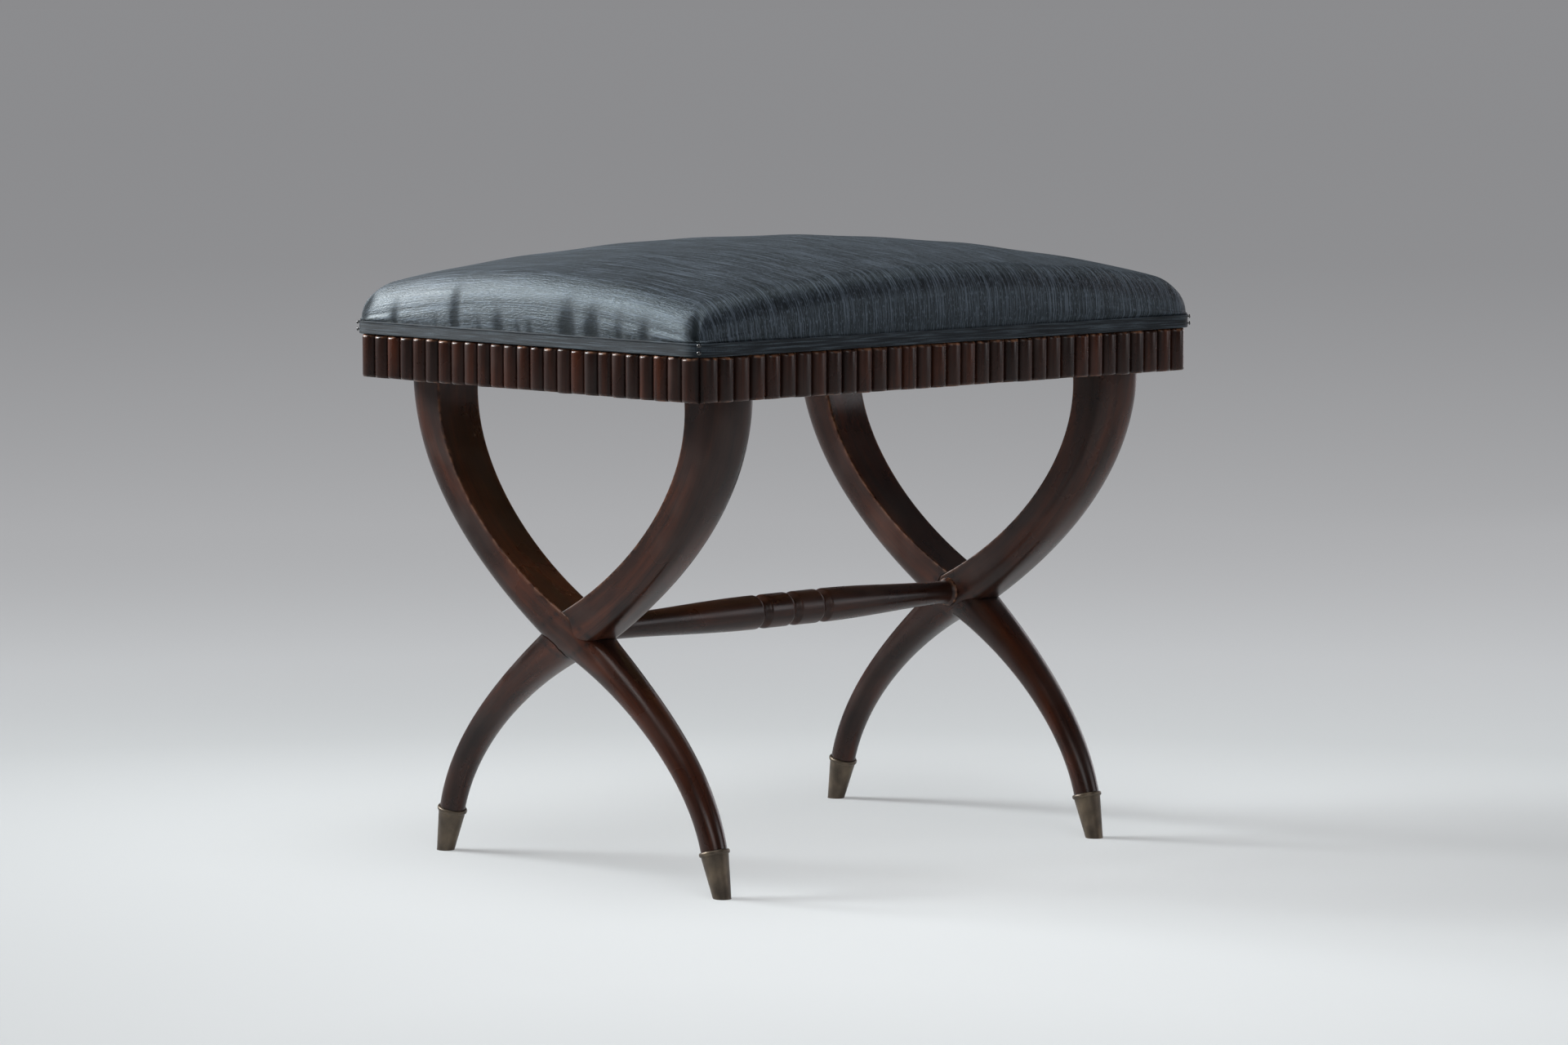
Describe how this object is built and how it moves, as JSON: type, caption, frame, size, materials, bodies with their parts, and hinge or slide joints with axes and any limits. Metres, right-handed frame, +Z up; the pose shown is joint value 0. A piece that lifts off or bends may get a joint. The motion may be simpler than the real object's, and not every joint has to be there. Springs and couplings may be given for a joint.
{
  "type": "x frame stool",
  "caption": "Low stool on two curved crossed frames joined by a turned stretcher, with a reeded apron, a crowned cloth seat and brass foot ferrules.",
  "frame": {"origin": "on the floor, under the middle of the seat", "axes": "+X along the stretcher and the seat's long side, +Y to the back, +Z up"},
  "size_m": [0.5446, 0.4086, 0.4913],
  "materials": {
    "rosewood": "polished, dark red brown, worn lighter on edges",
    "brass": "dull grey brown patina",
    "beech": "bare, unfinished",
    "screw_steel": "dull",
    "webbing": "coarse jute strap",
    "hessian": "coarse open weave",
    "curled_hair": "matted",
    "horsehair_cloth": "glossy black blue, fine straight ribs",
    "woven_band": "flat weave",
    "dark_pin": "black, glossy"
  },
  "bodies": {
    "root": {"left_outer_member": "rosewood", "left_inner_member": "rosewood", "ferrule_front_left": "brass", "ferrule_back_left": "brass", "right_outer_member": "rosewood", "right_inner_member": "rosewood", "ferrule_front_right": "brass", "ferrule_back_right": "brass", "stretcher": "rosewood", "front_rail": "beech", "back_rail": "beech", "left_rail": "beech", "right_rail": "beech", "front_reeding": "rosewood", "right_reeding": "rosewood", "back_reeding": "rosewood", "left_reeding": "rosewood", "corner_block_front_left": "beech", "corner_block_front_right": "beech", "corner_block_back_left": "beech", "corner_block_back_right": "beech", "block_screw_front_left_1": "screw_steel", "block_screw_front_left_2": "screw_steel", "block_screw_front_right_1": "screw_steel", "block_screw_front_right_2": "screw_steel", "block_screw_back_left_1": "screw_steel", "block_screw_back_left_2": "screw_steel", "block_screw_back_right_1": "screw_steel", "block_screw_back_right_2": "screw_steel", "long_web_1": "webbing", "long_web_2": "webbing", "long_web_3": "webbing", "cross_web_1": "webbing", "cross_web_2": "webbing", "cross_web_3": "webbing", "cross_web_4": "webbing", "cross_web_5": "webbing", "hessian": "hessian", "stuffing": "curled_hair", "seat_cover": "horsehair_cloth", "trim_band": "woven_band", "corner_pin_front_left_1": "dark_pin", "corner_pin_front_left_2": "dark_pin", "corner_pin_front_right_1": "dark_pin", "corner_pin_front_right_2": "dark_pin", "corner_pin_back_left_1": "dark_pin", "corner_pin_back_left_2": "dark_pin", "corner_pin_back_right_1": "dark_pin", "corner_pin_back_right_2": "dark_pin"}
  },
  "joints": []
}
